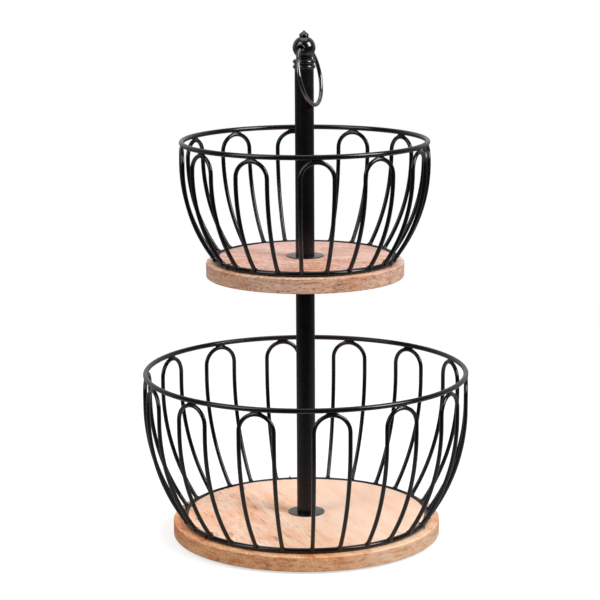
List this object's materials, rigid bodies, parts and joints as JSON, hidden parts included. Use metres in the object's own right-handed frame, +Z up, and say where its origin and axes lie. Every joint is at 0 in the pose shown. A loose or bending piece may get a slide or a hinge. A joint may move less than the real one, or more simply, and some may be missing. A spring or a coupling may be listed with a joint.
{
  "type": "tiered wire basket",
  "caption": "Tiered basket: wire cages on turned wooden boards, stacked on one pole that ends in a finial with a swinging ring handle.",
  "frame": {"origin": "centre of the stand on the surface that it rests on, under the pole's axis", "axes": "+Z up along the pole, -Y towards the front, +X to the right seen from the front"},
  "size_m": [0.3056, 0.3056, 0.4757],
  "materials": {
    "mango_wood": "oiled",
    "black_wire": "satin powder coat",
    "black_coating": "satin powder coat",
    "zinc_steel": "zinc plated",
    "pad_rubber": "matte"
  },
  "bodies": {
    "stand": {"lower_board": "mango_wood", "upper_board": "mango_wood", "lower_rim": "black_wire", "upper_rim": "black_wire", "lower_base_ring": "black_wire", "upper_base_ring": "black_wire", "lower_loop_01": "black_wire", "lower_loop_02": "black_wire", "lower_loop_03": "black_wire", "lower_loop_04": "black_wire", "lower_loop_05": "black_wire", "lower_loop_06": "black_wire", "lower_loop_07": "black_wire", "lower_loop_08": "black_wire", "lower_loop_09": "black_wire", "lower_loop_10": "black_wire", "lower_loop_11": "black_wire", "lower_loop_12": "black_wire", "lower_loop_13": "black_wire", "lower_loop_14": "black_wire", "upper_loop_01": "black_wire", "upper_loop_02": "black_wire", "upper_loop_03": "black_wire", "upper_loop_04": "black_wire", "upper_loop_05": "black_wire", "upper_loop_06": "black_wire", "upper_loop_07": "black_wire", "upper_loop_08": "black_wire", "upper_loop_09": "black_wire", "upper_loop_10": "black_wire", "upper_loop_11": "black_wire", "upper_loop_12": "black_wire", "lower_pole": "black_coating", "upper_pole": "black_coating", "lower_flange": "black_coating", "upper_flange": "black_coating", "finial": "black_coating", "lower_pole_foot_insert": "zinc_steel", "lower_pole_top_insert": "zinc_steel", "upper_pole_foot_insert": "zinc_steel", "upper_pole_top_insert": "zinc_steel", "base_bolt": "zinc_steel", "base_washer": "zinc_steel", "joining_stud": "zinc_steel", "finial_stud": "zinc_steel", "lower_staples": "zinc_steel", "upper_staples": "zinc_steel", "base_pads": "pad_rubber"},
    "handle": {"ring_handle": "black_coating"}
  },
  "joints": [
    {"name": "handle_swing", "type": "hinge", "parent": "stand", "child": "handle", "pos_m": [0, 0, 0.45995], "axis": [-0.342, -0.9397, 0], "range_deg": [0, 336.12]}
  ]
}
